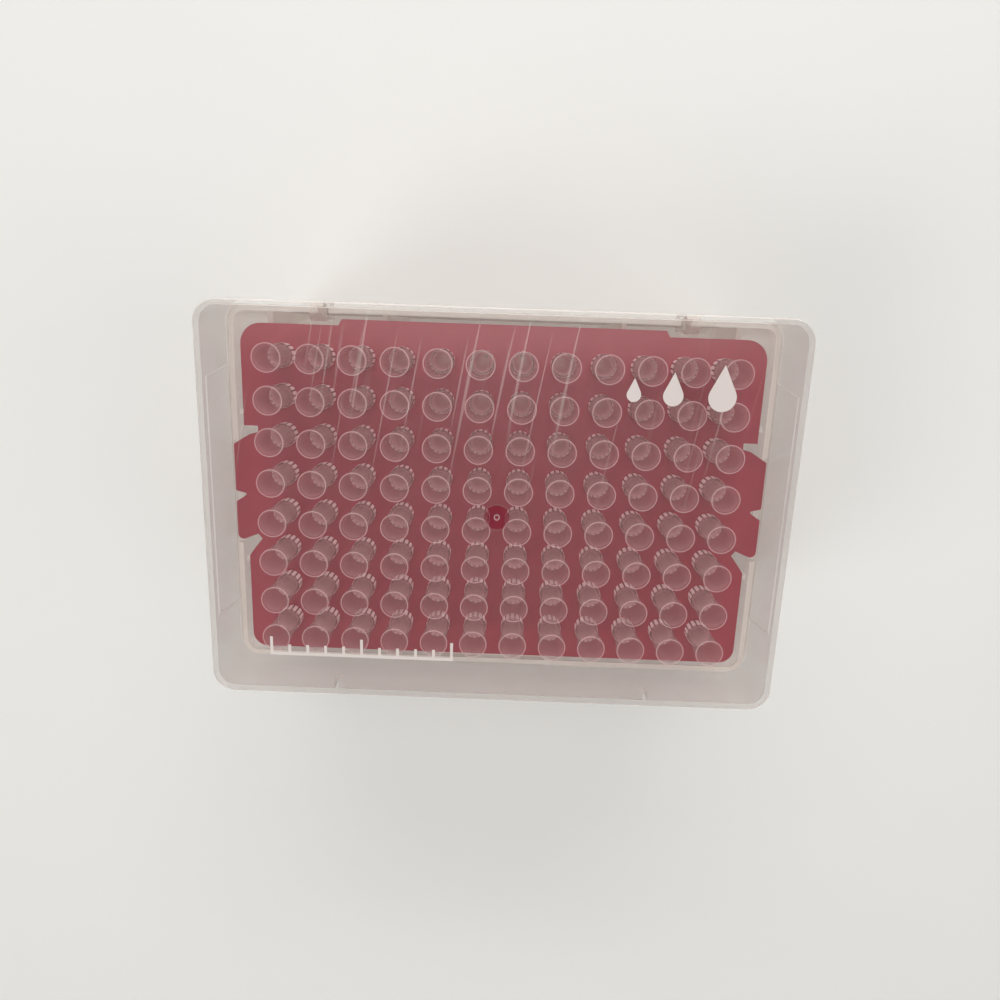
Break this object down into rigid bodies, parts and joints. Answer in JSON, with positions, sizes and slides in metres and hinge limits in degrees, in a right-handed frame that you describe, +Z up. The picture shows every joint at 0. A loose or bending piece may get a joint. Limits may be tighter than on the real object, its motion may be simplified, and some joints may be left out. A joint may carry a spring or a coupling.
{
  "type": "pipette tip box",
  "caption": "Hinged translucent box with a crimson rack plate that holds pipette tips upright in rows and columns.",
  "frame": {"origin": "centre of the foot, on the surface that the box stands on", "axes": "+X along the columns, +Y to the hinge side, +Z up"},
  "size_m": [0.1268, 0.0872, 0.061],
  "materials": {
    "frosted_tray": "natural polypropylene, frosted and translucent",
    "frosted_lid": "natural polypropylene, clearer on the top, with a soft gloss",
    "crimson_plate": "coloured polypropylene, satin",
    "clear_tip": "natural polypropylene, thin and translucent"
  },
  "bodies": {
    "tray": {"base": "frosted_tray", "rack_plate": "crimson_plate", "tips_column_1": "clear_tip", "tips_column_2": "clear_tip", "tips_column_3": "clear_tip", "tips_column_4": "clear_tip", "tips_column_5": "clear_tip", "tips_column_6": "clear_tip", "tips_column_7": "clear_tip", "tips_column_8": "clear_tip", "tips_column_9": "clear_tip", "tips_column_10": "clear_tip", "tips_column_11": "clear_tip", "tips_column_12": "clear_tip"},
    "lid": {"lid": "frosted_lid"}
  },
  "joints": [
    {"name": "lid_hinge", "type": "hinge", "parent": "tray", "child": "lid", "pos_m": [0, 0.0413, 0.0376], "axis": [-1, 0, 0], "range_deg": [0, 115]}
  ]
}
